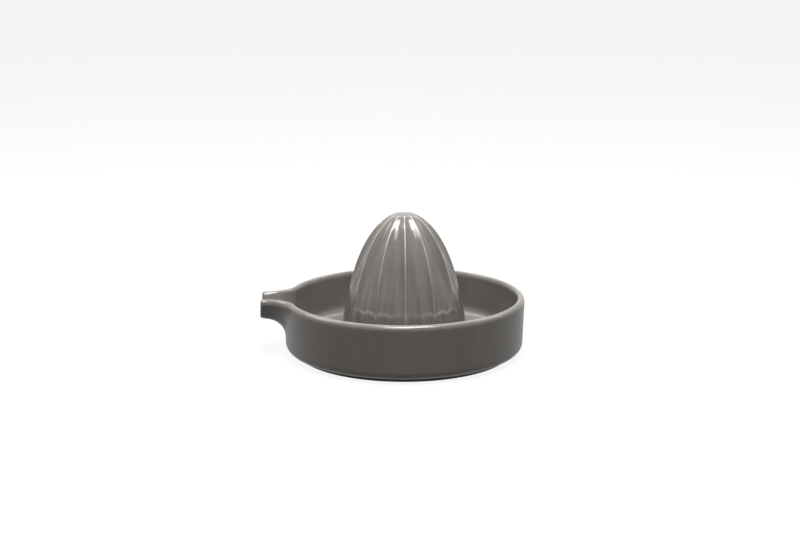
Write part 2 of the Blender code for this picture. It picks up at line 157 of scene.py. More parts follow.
def remap(tree, value, old_low, old_high, new_low, new_high):
    """A value moved from one range into another, and held inside it."""
    step = tree.nodes.new("ShaderNodeMapRange")
    step.inputs["From Min"].default_value = old_low
    step.inputs["From Max"].default_value = old_high
    step.inputs["To Min"].default_value = new_low
    step.inputs["To Max"].default_value = new_high
    tree.links.new(value, step.inputs["Value"])
    return step.outputs["Result"]


def two_tones(tree, value, low, low_tone, high, high_tone):
    """A colour that goes from one tone to another while a value rises from low to high."""
    ramp = tree.nodes.new("ShaderNodeValToRGB")
    ramp.color_ramp.elements[0].position = low
    ramp.color_ramp.elements[0].color = low_tone
    ramp.color_ramp.elements[1].position = high
    ramp.color_ramp.elements[1].color = high_tone
    tree.links.new(value, ramp.inputs["Fac"])
    return ramp.outputs["Color"]


def bump(tree, height, strength, distance):
    """Fine relief, given to the shader's normal."""
    relief = tree.nodes.new("ShaderNodeBump")
    relief.inputs["Strength"].default_value = strength
    relief.inputs["Distance"].default_value = distance
    tree.links.new(height, relief.inputs["Height"])
    tree.links.new(relief.outputs["Normal"], tree.nodes["Principled BSDF"].inputs["Normal"])


# %% Vector steps and stored amounts
def vector(tree, operation, first, second):
    """One step of vector arithmetic. The second operand is a socket or plain numbers."""
    step = tree.nodes.new("ShaderNodeVectorMath")
    step.operation = operation
    tree.links.new(first, step.inputs[0])
    if isinstance(second, bpy.types.NodeSocket):
        tree.links.new(second, step.inputs[1])
    else:
        step.inputs[1].default_value = second
    return step.outputs["Vector"]


def stored(tree, name):
    """An amount that is written on the piece's own vertices."""
    node = tree.nodes.new("ShaderNodeAttribute")
    node.attribute_name = name
    return node.outputs["Fac"]


# %% [markdown]
# ## The glaze
#
# The juicer is dipped in one warm grey glaze. Fired glaze is a layer of glass over clay, so it has
# a soft body colour and a clear shine on top. It also flows in the kiln: on steep sides it runs
# down in faint streaks, and over a sharp edge it thins to a paler tone. On the cone the streaks are
# also painted reflections, and the pale tone is also a painted highlight on the crests and the
# band's edge and painted light on the band. Broad noise varies the body colour, a noise that is
# read by the angle round the axis draws the streaks, and a finer one breaks up the pale places. Two
# vertex attributes are written on the pieces later: thin_and_painted_light brings in the pale
# tone, and dry makes the glaze duller.

# %% Glaze colour
GLAZE_DARK = (0.121, 0.109, 0.097, 1.0)
GLAZE_LIGHT = (0.139, 0.126, 0.113, 1.0)
# The pale tone is thin glaze, and on the cone also a painted highlight and painted light.
GLAZE_THIN_AND_HIGHLIGHT = (0.52, 0.49, 0.45, 1.0)


def streaks_and_painted_reflections(tree, where, streak_strength):
    """A factor above or below 1 for each streak, which changes only slowly with height. The streaks
    are glaze runs and, on the cone, also painted reflections in the flutes.
    """
    across = vector(tree, "SUBTRACT", where, (AXIS_X, 0.0, 0.0))
    level = vector(tree, "MULTIPLY", across, (1.0, 1.0, 0.0))
    facing = vector(tree, "NORMALIZE", level, (0.0, 0.0, 0.0))
    rise = vector(tree, "MULTIPLY", where, (0.0, 0.0, 2.0))
    streaks = noise(tree, vector(tree, "ADD", facing, rise), 13.0, 3.0)
    return remap(tree, streaks, 0.35, 0.65, 1.0 - streak_strength, 1.0 + streak_strength)


def thin_and_painted_light_amount(tree, where):
    """How much pale tone a place gets, for thin glaze, painted highlight and painted light: the
    stored amount, broken up as if worn.
    """
    amount = tree.nodes.new("ShaderNodeMath")
    amount.operation = "MULTIPLY"
    tree.links.new(stored(tree, "thin_and_painted_light"), amount.inputs[0])
    worn = remap(tree, noise(tree, where, 160.0, 3.0), 0.30, 0.62, 0.45, 1.0)
    tree.links.new(worn, amount.inputs[1])
    return amount.outputs["Value"]


def glaze_colour(tree, where, cloud, streak_strength):
    """The body's tones with their streaks and painted reflections, and the pale tone over them for
    thin glaze, painted highlights and painted light.
    """
    run_down = tree.nodes.new("ShaderNodeVectorMath")
    run_down.operation = "SCALE"
    body = two_tones(tree, cloud, 0.32, GLAZE_DARK, 0.70, GLAZE_LIGHT)
    tree.links.new(body, run_down.inputs["Vector"])
    tree.links.new(streaks_and_painted_reflections(tree, where, streak_strength), run_down.inputs["Scale"])
    paler = tree.nodes.new("ShaderNodeMix")
    paler.data_type = "RGBA"
    paler.inputs["B"].default_value = GLAZE_THIN_AND_HIGHLIGHT
    tree.links.new(thin_and_painted_light_amount(tree, where), paler.inputs["Factor"])
    tree.links.new(run_down.outputs["Vector"], paler.inputs["A"])
    return paler.outputs["Result"]


# %% [markdown]
# ## The glaze: its shine
#
# The shader's own reflection gives the satin shine of the whole skin. A weak, sharper coat over it
# is the clear glass that lamps glint in. Where the glaze is dry its reflection is rougher, so the
# outside of the dish shines less than the inside.

# %% Glaze shine and material
DRY_ROUGHNESS = 0.26


def glaze_roughness(tree, cloud, smoothest, dullest):
    """Roughness between two limits, and more where the glaze is dry."""
    drier = tree.nodes.new("ShaderNodeMath")
    drier.operation = "MULTIPLY_ADD"
    drier.inputs[1].default_value = DRY_ROUGHNESS
    tree.links.new(stored(tree, "dry"), drier.inputs[0])
    tree.links.new(remap(tree, cloud, 0.0, 1.0, smoothest, dullest), drier.inputs[2])
    return drier.outputs["Value"]


def glaze_material(name, streak_strength, smoothest, dullest):
    """Warm grey glaze over stoneware. streak_strength is how strongly it shows its streaks, glaze
    runs that on the cone are also painted reflections; the last two are the limits of its roughness
    where it isn't dry."""
    material = bpy.data.materials.new(name)
    material.use_nodes = True
    tree = material.node_tree
    shader = tree.nodes["Principled BSDF"]
    where = tree.nodes.new("ShaderNodeTexCoord").outputs["Object"]
    cloud = noise(tree, where, 45.0, 3.0)
    tree.links.new(glaze_colour(tree, where, cloud, streak_strength), shader.inputs["Base Color"])
    tree.links.new(glaze_roughness(tree, cloud, smoothest, dullest), shader.inputs["Roughness"])
    bump(tree, noise(tree, where, 220.0, 2.0), 0.10, 0.0004)
    shader.inputs["IOR"].default_value = 1.42
    shader.inputs["Coat Weight"].default_value = 0.08
    shader.inputs["Coat Roughness"].default_value = 0.08
    shader.inputs["Coat IOR"].default_value = 1.45
    return material


glaze = glaze_material("warm_grey_glaze", 0.03, 0.15, 0.22)
# The cone's stronger streaks are glaze runs and painted reflections in its flutes.
cone_glaze = glaze_material("warm_grey_glaze_cone", 0.14, 0.13, 0.20)
print("glaze nodes:", len(glaze.node_tree.nodes))

# %% Amounts on vertices
def write_amount(piece, name, amount):
    """Store an amount from 0 to 1 at each vertex, given by amount(r, angle, z, normal). The
    angle is measured round the axis from the spout."""
    layer = piece.data.attributes.new(name, "FLOAT", "POINT")
    for i, vertex in enumerate(piece.data.vertices):
        x, y, z = vertex.co
        x -= AXIS_X
        layer.data[i].value = amount(math.hypot(x, y), math.atan2(y, -x), z, vertex.normal)


# %% [markdown]
# ## The dish: its profile
#
# The dish is a floor, a wall and a rolled lip. The wall leans in slightly towards its base, which
# lets the dish leave its mould. The lip is rounder outside than inside, so its highest line lies
# two thirds of the way in. The profile is drawn once, point by point round its section, with many
# rows in the part of the wall that the spout will be pulled from.

# %% Outer and inner wall
FILLET = 0.0070


def outside(z):
    """Radius of the outer wall at height z."""
    return BOWL_RADIUS - DRAFT * (LIP_EDGE - z)


def inside(z):
    """Radius of the inner wall at height z, with the fillet that runs into the floor."""
    fillet_top = FLOOR_TOP + FILLET
    if z >= fillet_top:
        return outside(z) - WALL
    below = min(fillet_top - z, FILLET)
    return outside(fillet_top) - WALL - FILLET + math.sqrt(FILLET**2 - below**2)


print("inner radius at the lip:", round(inside(LIP_EDGE) * 1000, 2), "mm")

# %% Lip
def on_lip(outer, inner, up_outside, up_inside, share):
    """A point of the lip: share 0 at its outer edge, 1 at its inner edge. The roll leaves each
    side of the wall in that side's own direction."""
    across = (outer - inner).normalized()
    inner_run = (outer - inner).length - LIP_ROLL
    angle = math.pi * share
    run = LIP_ROLL if share < 0.5 else inner_run
    up = up_outside.lerp(up_inside, share).normalized()
    crest_foot = inner + across * inner_run
    return crest_foot + across * run * math.cos(angle) + up * LIP_ROLL * math.sin(angle)


print("the lip rolls over", round(LIP_ROLL * 1000, 1), "mm above its edge")

# %% Dish profile
SPOUT_DEPTH = 0.0100
SPOUT_FALL = 0.0026
FLARE_BELOW = 0.0084
SEAM_GAP = 0.0006
SEAM = LIP_EDGE - SPOUT_DEPTH - SPOUT_FALL - FLARE_BELOW - SEAM_GAP
SIDE_ROWS = 14
LIP_ROWS = 16
BASE_ROUND = 0.0050
UNDERSIDE_START = 0.0640
FLOOR_START = 0.0380
FLAT_STEP = 0.0050
HOLLOW_RADIUS = 0.0336
HOLE_EDGE = 0.0008
OVERLAP = 0.0002
ROW_GAP = 0.0004


def dish_profile():
    """The dish's section, from its lip down the outside, along the base and back up inside."""
    outer_edge = Vector((outside(LIP_EDGE), LIP_EDGE))
    inner_edge = Vector((inside(LIP_EDGE), LIP_EDGE))
    up = Vector((DRAFT, 1.0)).normalized()
    lip = [tuple(on_lip(outer_edge, inner_edge, up, up, i / LIP_ROWS)) for i in range(LIP_ROWS + 1)]
    rows = [LIP_EDGE - (LIP_EDGE - SEAM) * i / SIDE_ROWS for i in range(SIDE_ROWS + 1)]
    outer = [(outside(z), z) for z in rows[1:]]
    corner_z = DISH_BASE + BASE_ROUND
    corner = arc((outside(corner_z) - BASE_ROUND, corner_z), BASE_ROUND, 0.0, -90.0, 12)
    underside = [(UNDERSIDE_START - FLAT_STEP * i, DISH_BASE) for i in range(6)]
    hole = [(HOLLOW_RADIUS + HOLE_EDGE, DISH_BASE), (HOLLOW_RADIUS, DISH_BASE + HOLE_EDGE)]
    hole += [(HOLLOW_RADIUS, FLOOR_TOP - OVERLAP)]
    floor = [(FLOOR_START + FLAT_STEP * i, FLOOR_TOP) for i in range(5)]
    fillet_z = FLOOR_TOP + FILLET
    fillet = arc((inside(fillet_z) - FILLET, fillet_z), FILLET, -90.0, -4.0, 14)
    inner = [(inside(z), z) for z in reversed(rows[1:])]
    fillet = [point for point in fillet if point[1] < SEAM - ROW_GAP]
    return list(reversed(lip)) + outer + corner + underside + hole + floor + fillet + inner


profile = dish_profile()
print("dish profile:", len(profile), "points; the spout's seam is at", round(SEAM * 1000, 1), "mm")

# %% [markdown]
# ## The dish: spin it and open the wall
#
# The profile is a closed ring, so one spin makes the whole dish as a closed skin. The angle of a
# point is always measured from -X, where the spout goes. A sector of the wall is then deleted
# above the seam, on the outside, over the lip and down the inside. That leaves one open edge with
# the shape of a horseshoe, and the trough will be pulled out of that edge.

# %% Spin and open
DISH_STEPS = 240
SECTOR = math.radians(24.0)
WALL_STARTS = 0.055

dish = bmesh.new()
spin(dish, chain(dish, profile, closed=True), DISH_STEPS)


def in_sector(face):
    """Whether a face of the dish lies in the piece of wall that the spout takes."""
    x, y, z = face.calc_center_median()
    return z > SEAM and math.hypot(x, y) > WALL_STARTS and abs(math.atan2(y, -x)) < SECTOR


opened = [face for face in dish.faces if in_sector(face)]
bmesh.ops.delete(dish, geom=opened, context="FACES")
open_edge = [edge for edge in dish.edges if edge.is_boundary]
print("faces taken out:", len(opened), "; edges round the opening:", len(open_edge))

# %% [markdown]
# ## The spout: its pattern
#
# A potter pulls such a trough from the wall while the clay is soft. Modelled as a separate tube it
# would need a blend where it meets the wall, and a Boolean would leave a hard line there. Here
# each point of the open edge gets a path instead: along the wall, round a flare, then out along
# the trough. The paths are drawn on the wall unrolled flat, as (distance round, depth), and are
# wrapped back on to it. The trough's section has straight sides that lean in by 27 degrees, round
# corners and a flat keel, and its underside climbs a little towards the tip.

# %% Trough section and flare
LEAN = math.radians(27.0)
CORNER = 0.0070
CORNER_SHARE = 0.75
HALF_WIDTH = 0.0095
TIP_SLANT = 0.0006
TIP_ROUND = 0.0012
FLARE_AT_LIP = (0.0120, 0.0130)
FLARE_AT_KEEL = (FLARE_BELOW, 0.0080)
INNER_WIDENING = 0.43
LEAST_TROUGH = 0.0012


def trough_point(share, depth, inset):
    """A point of half the trough's section: share 0 at its lip, 0.5 where the corner starts, 1
    in the middle of the keel. inset is 0 on the outside and the wall's thickness inside."""
    square = Vector((math.cos(LEAN), math.sin(LEAN)))
    edge = Vector((HALF_WIDTH, 0.0)) + square * WALL / 2
    centre_y = depth - CORNER
    centre_x = (edge.dot(square) - CORNER - centre_y * square.y) / square.x
    centre = Vector((centre_x, centre_y))
    radius = CORNER - inset
    if share <= 0.5:
        return (edge - square * inset).lerp(centre + square * radius, share * 2.0)
    turned = min((share - 0.5) * 2.0 / CORNER_SHARE, 1.0)
    angle = LEAN + (math.pi / 2 - LEAN) * turned
    flat = max((share - 0.5) * 2.0 - CORNER_SHARE, 0.0) / (1.0 - CORNER_SHARE)
    x = (centre.x + radius * math.cos(angle)) * (1.0 - flat)
    return Vector((x, centre.y + radius * math.sin(angle)))


def on_wall(wall, point, out):
    """Wrap a point of the flat pattern on to a wall, and move it out along -X."""
    turn = point.x / wall(LIP_EDGE)
    z = LIP_EDGE - point.y
    return Vector((-wall(z) * math.cos(turn) - out, wall(z) * math.sin(turn), z))


def eased(share):
    """A blend from 0 to 1 that starts and ends level."""
    return share * share * (3.0 - 2.0 * share)


def flare(share, tension=0.55):
    """A quarter turn of the flare: how much of its width is left and of its length is gained."""
    rest, slack = 1.0 - share, 1.0 - tension
    left = rest**3 + 3.0 * rest**2 * share * slack
    gained = share**3 + 3.0 * share**2 * rest * slack
    return left, gained


print("keel of the trough at the tip:", round((LIP_EDGE - SPOUT_DEPTH) * 1000, 1), "mm")

# %% [markdown]
# ## The spout: one path for each point of the edge
#
# A path has the same number of stations whether its point is on the outside or the inside, so
# that station after station the open edge stays one clean loop. The lip's own points don't have
# paths. At each station the lip is laid over from the outer to the inner edge again.

# %% Paths and stations
PLATE_STATIONS, FLARE_STATIONS, TROUGH_STATIONS = 5, 16, 6
TROUGH_SPACING = 0.6


def path(wall, inset, share):
    """Stations of one path from the dish's open edge out to the spout's tip."""
    depth_at_wall = SPOUT_DEPTH if inset else SPOUT_DEPTH + SPOUT_FALL
    root = trough_point(share, depth_at_wall, inset)
    tip = trough_point(share, SPOUT_DEPTH, inset)
    width = FLARE_AT_LIP[0] + (FLARE_AT_KEEL[0] - FLARE_AT_LIP[0]) * share
    width += inset * (INNER_WIDENING + (1.0 - INNER_WIDENING) * share)
    length = FLARE_AT_LIP[1] + (FLARE_AT_KEEL[1] - FLARE_AT_LIP[1]) * share + inset
    side = min(share * 2.0, 1.0)
    turn = SECTOR * (1.0 - max(share * 2.0 - 1.0, 0.0))
    start = Vector((turn * wall(LIP_EDGE), (LIP_EDGE - SEAM) * side))
    outward = (start - root).normalized()
    tip_x = -SPOUT_REACH + TIP_SLANT * (1.0 - tip.y / SPOUT_DEPTH) + TIP_ROUND
    full_out = on_wall(wall, tip, 0.0).x - tip_x
    length = min(length, full_out - LEAST_TROUGH)
    run = (start - root).length
    lip_rise = trough_point(0.0, depth_at_wall, inset).y * max(1.0 - 2.0 * share, 0.0)

    def near_lip(point, remaining):
        """Let the path leave the rim level, and reach the trough level."""
        done = 1.0 - remaining / run
        return Vector((point.x, point.y + lip_rise * (eased(done) - done)))

    stations = []
    for k in range(PLATE_STATIONS):
        remaining = run + (width - run) * k / PLATE_STATIONS
        stations.append(on_wall(wall, near_lip(root + outward * remaining, remaining), 0.0))
    for k in range(FLARE_STATIONS + 1):
        left, gained = flare(k / FLARE_STATIONS)
        out = length * gained
        section = root.lerp(tip, out / full_out)
        point = near_lip(section + outward * width * left, width * left)
        stations.append(on_wall(wall, point, out))
    flare_end = stations[-1]
    tip_point = on_wall(wall, tip, full_out)
    for k in range(1, TROUGH_STATIONS + 1):
        stations.append(flare_end.lerp(tip_point, (k / TROUGH_STATIONS) ** TROUGH_SPACING))
    return stations


KEEL_COLUMNS = round(SECTOR / math.tau * DISH_STEPS)
print("columns from the sector's side to its middle:", KEEL_COLUMNS)

# %% [markdown]
# ## The spout: pull the edge out
#
# Each point of the open edge is labelled once with where it lies: on the outside, over the lip or
# on the inside, how far along from the lip to the keel, and on which side of the middle. Extruding
# the edge copies the labels, so every new point knows its own path. Pulling is then a loop of
# extrude and move. Four last loops draw in to round the tip, and the narrow gap left between the
# outer and inner edges is bridged.

# %% Label the open edge
sheet = dish.verts.layers.int.new("sheet")
share_of = dish.verts.layers.float.new("share")
side_of = dish.verts.layers.int.new("side")
OUTER, LIP, INNER = 1, 2, 3


def label(vertex):
    """Write a point's place on the open edge into its layers."""
    x, y, z = vertex.co
    radius = math.hypot(x, y)
    turn = math.atan2(y, -x)
    vertex[side_of] = 1 if y > 0 else -1
    if z > LIP_EDGE + SAME_PLACE:
        vertex[sheet] = LIP
        foot = outside(LIP_EDGE) - LIP_ROLL
        run = LIP_ROLL if radius > foot else WALL - LIP_ROLL
        cosine = max(min((radius - foot) / run, 1.0), -1.0)
        vertex[share_of] = math.acos(cosine) / math.pi
        return
    vertex[sheet] = OUTER if radius > outside(z) - WALL / 2 else INNER
    down = (LIP_EDGE - z) / (LIP_EDGE - SEAM)
    if down < 1.0 - 1e-4:
        vertex[share_of] = down / 2.0
    else:
        vertex[share_of] = 0.5 + (1.0 - abs(turn) / SECTOR) / 2.0


edge_points = {vertex for edge in open_edge for vertex in edge.verts}
for vertex in edge_points:
    label(vertex)
print("points labelled:", len(edge_points))

# %% Stations for every label
walls = {OUTER: (outside, 0.0), INNER: (inside, WALL)}
paths = {}
for vertex in edge_points:
    if vertex[sheet] != LIP:
        key = (vertex[sheet], round(vertex[share_of], 5))
        paths[key] = path(*walls[vertex[sheet]], vertex[share_of])
stations = len(next(iter(paths.values())))
first_share = 0.5 / SIDE_ROWS
print("paths:", len(paths), "with", stations, "stations each")


def side_up(sheet_number, station):
    """The direction up the wall's side just below the lip, square to the path."""
    edge_path = paths[(sheet_number, 0.0)]
    before, after = max(station - 1, 0), min(station + 1, stations - 1)
    along = (edge_path[after] - edge_path[before]).normalized()
    up = edge_path[station] - paths[(sheet_number, round(first_share, 5))][station]
    return (up - along * up.dot(along)).normalized()


def place(vertex, station):
    """Where a labelled point of the edge lies at one station."""
    if vertex[sheet] == LIP:
        outer, inner = paths[(OUTER, 0.0)][station], paths[(INNER, 0.0)][station]
        ups = side_up(OUTER, station), side_up(INNER, station)
        point = on_lip(outer, inner, *ups, vertex[share_of])
    else:
        point = paths[(vertex[sheet], round(vertex[share_of], 5))][station]
    return Vector((point.x, point.y * vertex[side_of], point.z))


# %% Pull the trough
def pull(bm, edges):
    """Extrude the open edge and return its new edges and points."""
    grown = bmesh.ops.extrude_edge_only(bm, edges=edges)["geom"]
    new_edges = [g for g in grown if isinstance(g, bmesh.types.BMEdge)]
    new_points = [g for g in grown if isinstance(g, bmesh.types.BMVert)]
    return new_edges, new_points


for station in range(1, stations):
    open_edge, points = pull(dish, open_edge)
    for vertex in points:
        vertex.co = place(vertex, station)
print("trough pulled; tip at x =", round(min(v.co.x for v in dish.verts) * 1000, 2), "mm")

# %% Round the tip and close it
def wall_middle(vertex):
    """The middle of the wall beside a point of the spout's tip."""
    share = 0.0 if vertex[sheet] == LIP else round(vertex[share_of], 5)
    point = (paths[(OUTER, share)][-1] + paths[(INNER, share)][-1]) / 2
    return Vector((point.x, point.y * vertex[side_of], point.z))


ROUNDS = 4
for k in range(1, ROUNDS + 1):
    angle = math.pi / 2 * k / ROUNDS
    drawn = 1.0 - 2.0 * TIP_ROUND / WALL * (1.0 - math.cos(angle))
    open_edge, points = pull(dish, open_edge)
    for vertex in points:
        end = place(vertex, stations - 1)
        middle = wall_middle(vertex)
        near = middle + (end - middle) * drawn
        vertex.co = (end.x - TIP_ROUND * math.sin(angle), near.y, near.z)

strips = [edge for edge in open_edge if all(v[sheet] == OUTER for v in edge.verts)]
strips += [edge for edge in open_edge if all(v[sheet] == INNER for v in edge.verts)]
bmesh.ops.bridge_loops(dish, edges=strips)
bmesh.ops.holes_fill(dish, edges=[edge for edge in dish.edges if edge.is_boundary], sides=0)
open_edges = sum(1 for edge in dish.edges if not edge.is_manifold)
print("spout closed; open edges left:", open_edges)

# %% [markdown]
# ## The dish: finish
#
# The finished skin stands for two nodes of the frame, the bowl and the pouring spout, because the
# glaze runs over both without a joint. The glaze thins on the crown of the lip. Outside, where a
# dipped dish drains, it fires drier and duller than inside, which the dry attribute records.

# %% Finish the dish
for name in ("sheet", "side"):
    dish.verts.layers.int.remove(dish.verts.layers.int[name])
dish.verts.layers.float.remove(dish.verts.layers.float["share"])
dish_skin = finish_piece(dish, "glazed_dish", glaze)
print("attributes left on the dish:", [a.name for a in dish_skin.data.attributes])


THIN_CROWN = 0.0012


def clamp(share):
    """A share held between 0 and 1."""
    return min(max(share, 0.0), 1.0)


def thin_on_dish(r, angle, z, normal):
    """The glaze thins a little on the crown of the lip, all round and along the spout."""
    return 0.10 * max(0.0, (z - (BOWL_HEIGHT - THIN_CROWN)) / THIN_CROWN)


def dry_on_dish(r, angle, z, normal):
    """The outside, from just below the lip to the foot, faces outwards or down."""
    outwards = Vector((-math.cos(angle), math.sin(angle), 0.0)).dot(normal)
    below_lip = clamp((0.45 - normal.z) / 0.40)
    return below_lip * clamp((outwards + 0.6) / 0.4)


write_amount(dish_skin, "thin_and_painted_light", thin_on_dish)
write_amount(dish_skin, "dry", dry_on_dish)
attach(dish_skin, "root")
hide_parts("bowl", "pouring_spout")

# %% [markdown]
# ## The cone: what shapes it
#
# The cone does the juicing. Its crests follow half an ellipse that stands on the dish's floor.
# Twelve sharp ribs run down it, with hollow flutes between them, and from half height a softer
# ridge rises in the middle of each flute. Lower down the flutes grow shallow, show the strokes of
# the tool, and run out into a plain band. The band's top edge is scalloped: it dips under every
# rib and, less, under every ridge. The shape is a turned one with a pattern pressed into it, so it
# is spun as a smooth body first, and a formula then moves its points.

# %% Crest line and band
CONE_FOOT = FLOOR_TOP
CREST_RADIUS = 0.0361
APEX = 0.0783
BAND_FOOT_RADIUS = 0.0395
BAND_SLOPE = 0.195
BAND_EDGE = CONE_FOOT + 0.0242
RIBS = 12
RIB_DIP, RIDGE_DIP = 0.0028, 0.0016
DIP_SHARPNESS = 3.0


def crest(z):
    """Radius of the rib crests at height z."""
    return CREST_RADIUS * math.sqrt(1.0 - clamp((z - CONE_FOOT) / APEX) ** 2)


def band(z):
    """Radius of the plain band at height z."""
    return BAND_FOOT_RADIUS - BAND_SLOPE * (z - CONE_FOOT)


def across_rib(angle):
    """How far an angle lies across one rib's pitch: 0 and 1 on a crest, 0.5 halfway."""
    return (angle * RIBS / math.tau) % 1.0


def edge_dip(angle):
    """How far the band's scalloped edge dips at an angle."""
    across = across_rib(angle) * 2.0
    if across > 1.0:
        across = 2.0 - across
    dip = RIB_DIP if across < 0.5 else RIDGE_DIP
    return dip * abs(2.0 * across - 1.0) ** DIP_SHARPNESS


print("crest radius at the band's edge:", round(crest(BAND_EDGE) * 1000, 2), "mm")

# %% Flutes
FLUTE_DEPTH = 0.0024
FULL_DEPTH_RADIUS = 0.0220
CREST_WIDTH = 0.0004
RIDGE_HEIGHT = 0.0013
RIDGE_START, RIDGE_FULL = 0.0560, 0.0400
RIDGE_SHARE = 0.20
FADE_START, FADE_END = 0.0480, 0.0240
FLUTE_FADE, RIDGE_FADE = 0.70, 0.45
STROKE_DEPTH = 0.00016
STROKES_PER_FLUTE = 5.0
FLUTE_RUN_OUT = 0.0120
RIB_REACH = 0.14
LEDGE_STEP = 0.00010


def flute(angle, z):
    """How far the surface lies inside the crest line."""
    radius = crest(z)
    height = z - CONE_FOOT
    crown = crest(CONE_TOP)
    growth = clamp((radius - crown) / (FULL_DEPTH_RADIUS - crown)) ** 0.8
    phase = across_rib(angle)
    softness = min(CREST_WIDTH / (radius * math.tau / RIBS), 0.1)
    away = math.hypot(min(phase, 1.0 - phase), softness) - softness
    depth = FLUTE_DEPTH * growth * 4.0 * away * (1.0 - away)
    low = eased(clamp((FADE_START - height) / (FADE_START - FADE_END)))
    ridge = RIDGE_HEIGHT * max(1.0 - abs(phase - 0.5) / RIDGE_SHARE, 0.0) ** 1.3
    ridge *= clamp((RIDGE_START - height) / (RIDGE_START - RIDGE_FULL)) * (1.0 - RIDGE_FADE * low)
    waves = math.sin(phase * math.tau * STROKES_PER_FLUTE + 0.8 * math.sin(angle * 3.0))
    strokes = STROKE_DEPTH * low * waves
    return depth * (1.0 - FLUTE_FADE * low) - ridge + strokes * min(away * 8.0, 1.0)


def fluted(angle, z, ledge_z):
    """Radius of the fluted part. Every flute runs out to the band just above the ledge, and
    stops a small step short of it, except on the ribs."""
    radius = crest(z) - flute(angle, z)
    phase = across_rib(angle)
    on_rib = max(1.0 - min(phase, 1.0 - phase) / RIB_REACH, 0.0) ** 1.5
    low = clamp(1.0 - (z - ledge_z) / FLUTE_RUN_OUT)
    step = LEDGE_STEP * (1.0 - on_rib) * (1.0 + math.sin(angle * 5.0))
    return radius + (band(z) - step - radius) * low**1.6


print("deepest flute at half height:", round(flute(math.tau / RIBS / 2, 0.05) * 1000, 2), "mm")

# %% [markdown]
# ## The cone: spin, press, and hollow
#
# The profile runs from the crown on the axis down to the foot. Each row carries its number in a
# layer, so that after the spin the formula knows which rows are flutes, which make the ledge and
# which are the band. More of the spin's steps are drawn towards the crests, where the shape turns
# fastest. Last, the open foot is pulled inward and up to make the hollow that a fired cone needs.

# %% Spin the cone's body
STEPS_PER_RIB = 30
FLUTE_ROWS, LEDGE_ROWS, BAND_ROWS, FOOT_ROWS = 64, 3, 10, 6

rows = [("crown", 0.0), ("crown", 0.35), ("crown", 0.70)]
rows += [("flute", i / FLUTE_ROWS) for i in range(FLUTE_ROWS + 1)]
rows += [("ledge", i / LEDGE_ROWS) for i in range(1, LEDGE_ROWS)]
rows += [("band", i / BAND_ROWS) for i in range(BAND_ROWS + 1)]
rows += [("foot", i / FOOT_ROWS) for i in range(1, FOOT_ROWS + 1)]

cone = bmesh.new()
row_of = cone.verts.layers.int.new("row")
blank = [(0.0 if i == 0 else 0.01, -0.001 * i) for i in range(len(rows))]
drawn = chain(cone, blank, closed=False)
for i, vertex in enumerate(g for g in drawn if isinstance(g, bmesh.types.BMVert)):
    vertex[row_of] = i
spin(cone, drawn, RIBS * STEPS_PER_RIB)
print("cone rows:", len(rows), "; points:", len(cone.verts))

# %% Where each row is pressed to
FOOT_FLARE = 0.0016
LEDGE_RISE = 0.0003
LEDGE_ROLL = 0.0002
CROWN_DROP = 0.0001
CROWN_ROUND = 0.0003
CROWN_EDGE = crest(CONE_TOP - CROWN_ROUND)
DIP_START = BAND_EDGE + 0.0127
DIP_REACH = 0.0120
CREST_CROWDING = 0.078


def pressed(kind, share, angle):
    """Radius and height of a row of the cone at an angle."""
    edge_z = BAND_EDGE - edge_dip(angle)
    ledge_z = edge_z + LEDGE_RISE
    if kind == "crown":
        return CROWN_EDGE * share, CONE_TOP - CROWN_DROP * share
    if kind == "flute":
        top = CONE_TOP - CROWN_ROUND
        even = share * 0.65 + math.sin(share * math.pi / 2) * 0.35
        z = top - (top - (BAND_EDGE + LEDGE_RISE)) * even**1.25
        z -= edge_dip(angle) * clamp((DIP_START - z) / DIP_REACH) ** 1.5
        return fluted(angle, z, ledge_z), z
    if kind == "ledge":
        start = fluted(angle, ledge_z, ledge_z)
        end = band(edge_z - LEDGE_ROLL)
        return start + (end - start) * share, ledge_z - (LEDGE_RISE + LEDGE_ROLL) * share
    foot_top = CONE_FOOT + FOOT_FLARE
    if kind == "band":
        z = edge_z - LEDGE_ROLL
        z -= (z - foot_top) * share
        return band(z), z
    turn = share * math.pi / 2
    radius = band(foot_top) + FOOT_FLARE * (1.0 - math.cos(turn))
    return radius, foot_top - (FOOT_FLARE + OVERLAP / 2) * math.sin(turn)


print("crown is", round(CROWN_EDGE * 2000, 1), "mm across")

# %% Press the ribs, the ledge and the band
for vertex in cone.verts:
    kind, share = rows[vertex[row_of]]
    step_angle = math.atan2(vertex.co.y, -vertex.co.x)
    angle = step_angle - CREST_CROWDING * math.sin(step_angle * RIBS) * math.tau / RIBS
    radius, z = pressed(kind, share, angle)
    vertex.co = (-radius * math.cos(angle), radius * math.sin(angle), z)
print("cone pressed; widest", round(max(v.co.x for v in cone.verts) * 2000, 1), "mm")

# %% Pull the hollow up into the cone
HOLLOW_ROWS = 26
HOLLOW_TAPER = 1.15
CROWN_WALL = 0.0055
hollow_height = CONE_TOP - CROWN_WALL - CONE_FOOT
open_edge = [edge for edge in cone.edges if edge.is_boundary]
for i in range(HOLLOW_ROWS + 1):
    share = math.sin(math.pi / 2 * i / HOLLOW_ROWS)
    radius = HOLLOW_RADIUS * math.sqrt(max(1.0 - share**HOLLOW_TAPER, 0.0))
    open_edge, ring = pull(cone, open_edge)
    for vertex in ring:
        out = vertex.co.xy.normalized()
        vertex.co = (out.x * radius, out.y * radius, CONE_FOOT - OVERLAP + hollow_height * share)
bmesh.ops.remove_doubles(cone, verts=ring, dist=MERGE)
cone.verts.layers.int.remove(row_of)
open_edges = sum(1 for edge in cone.edges if not edge.is_manifold)
print("hollow pulled; open edges left:", open_edges)

